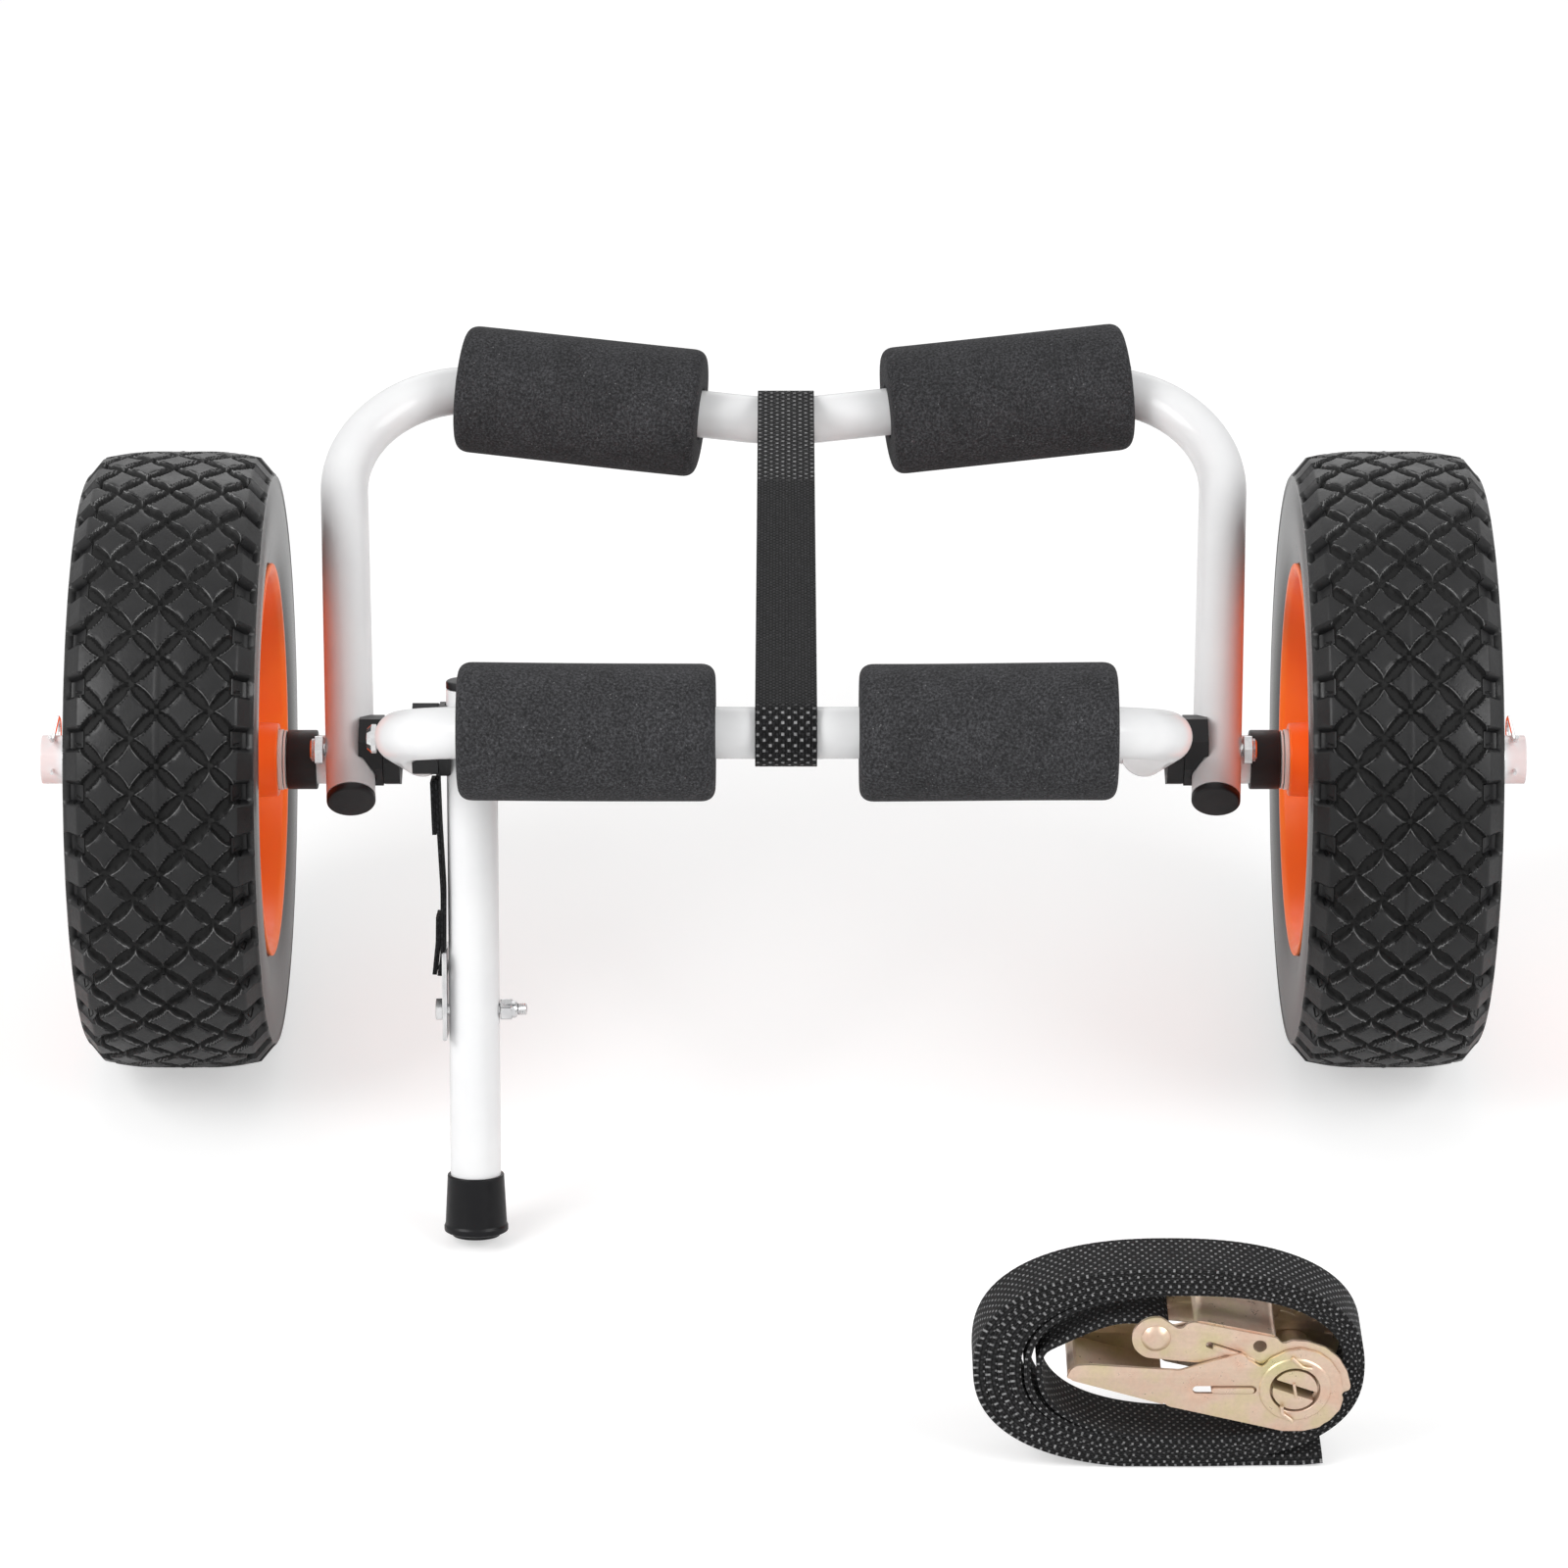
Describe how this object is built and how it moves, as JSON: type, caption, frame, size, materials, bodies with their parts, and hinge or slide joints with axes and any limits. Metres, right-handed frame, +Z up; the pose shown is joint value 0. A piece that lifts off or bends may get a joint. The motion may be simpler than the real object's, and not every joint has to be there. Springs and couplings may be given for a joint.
{
  "type": "kayak launching trolley",
  "caption": "Folding two-wheeled trolley for launching a kayak: crossed tube frames, foam pads, stand and a ratchet tie-down strap.",
  "frame": {"origin": "on the ground under the middle of the trolley and its wound tie-down strap", "axes": "+X along the axle towards the side without the stand, +Y away from the stand, +Z up"},
  "size_m": [0.6116, 0.522, 0.2562],
  "materials": {
    "silver_tube": "satin",
    "zinc": "gloss",
    "gold_zinc": "satin",
    "orange_rim": "satin",
    "black_tyre": "satin",
    "black_plastic": "satin",
    "black_rubber": "matte",
    "grey_foam": "matte",
    "black_webbing": "matte",
    "white_bush": "satin"
  },
  "bodies": {
    "rear_frame": {"rear_frame": "silver_tube", "left_rear_leg_cap": "black_plastic", "right_rear_leg_cap": "black_plastic", "left_rear_saddle": "black_plastic", "right_rear_saddle": "black_plastic", "left_rear_pad": "grey_foam", "right_rear_pad": "grey_foam", "limiter_strap": "black_webbing", "left_axle_collar": "black_plastic", "right_axle_collar": "black_plastic", "left_inner_washer": "zinc", "right_inner_washer": "zinc", "left_outer_washer": "zinc", "right_outer_washer": "zinc"},
    "front_frame": {"front_frame": "silver_tube", "left_front_leg_cap": "black_plastic", "right_front_leg_cap": "black_plastic", "left_front_saddle": "black_plastic", "right_front_saddle": "black_plastic", "left_front_pad": "grey_foam", "right_front_pad": "grey_foam", "left_pivot_bolt": "zinc", "right_pivot_bolt": "zinc", "left_pivot_nut": "zinc", "right_pivot_nut": "zinc", "stand_frame_saddle": "black_plastic", "stand_pivot_bolt": "zinc"},
    "stand": {"stand_tube": "silver_tube", "stand_foot": "black_rubber", "stand_cap": "black_plastic", "stand_saddle": "black_plastic", "stand_pivot_insert": "zinc", "strap_tab": "zinc", "stand_lanyard": "black_webbing", "link_bolt": "zinc", "link_nut": "zinc"},
    "left_wheel": {"left_tyre": "black_tyre", "left_rim": "orange_rim", "left_inner_bush": "white_bush", "left_outer_bush": "white_bush"},
    "right_wheel": {"right_tyre": "black_tyre", "right_rim": "orange_rim", "right_inner_bush": "white_bush", "right_outer_bush": "white_bush"},
    "left_clip": {"left_axle_clip": "zinc"},
    "right_clip": {"right_axle_clip": "zinc"},
    "tie_down": {"tie_down_webbing": "black_webbing", "ratchet_frame": "gold_zinc", "ratchet_bolt": "gold_zinc"},
    "ratchet_handle": {"ratchet_handle": "gold_zinc"},
    "ratchet_spindle": {"ratchet_spindle": "gold_zinc"}
  },
  "joints": [
    {"name": "fold", "type": "hinge", "parent": "rear_frame", "child": "front_frame", "pos_m": [0, 0.06953, 0.13975], "axis": [-1, 0, 0], "range_deg": [0, 103], "deforming": ["limiter_strap"]},
    {"name": "stand_swing", "type": "hinge", "parent": "front_frame", "child": "stand", "pos_m": [-0.122, -0.03339, 0.1954], "axis": [1, 0, 0], "range_deg": [0, 73]},
    {"name": "left_wheel_spin", "type": "hinge", "parent": "rear_frame", "child": "left_wheel", "pos_m": [-0.2425, 0.0867, 0.127], "axis": [1, 0, 0], "continuous": true},
    {"name": "right_wheel_spin", "type": "hinge", "parent": "rear_frame", "child": "right_wheel", "pos_m": [0.2425, 0.0867, 0.127], "axis": [1, 0, 0], "continuous": true},
    {"name": "left_clip_pull", "type": "slide", "parent": "rear_frame", "child": "left_clip", "axis": [0, 1, 0], "range_m": [0, 0.03]},
    {"name": "right_clip_pull", "type": "slide", "parent": "rear_frame", "child": "right_clip", "axis": [0, 1, 0], "range_m": [0, 0.03]},
    {"name": "tie_down_lift", "type": "slide", "parent": "rear_frame", "child": "tie_down", "axis": [0, 0, 1], "range_m": [0, 0.2]},
    {"name": "ratchet_lever", "type": "hinge", "parent": "tie_down", "child": "ratchet_handle", "pos_m": [0.19, -0.2428, 0.037], "axis": [0, 1, 0], "range_deg": [-5, 6]},
    {"name": "ratchet_spindle_turn", "type": "hinge", "parent": "tie_down", "child": "ratchet_spindle", "pos_m": [0.19, -0.2428, 0.037], "axis": [0, 1, 0], "continuous": true}
  ]
}
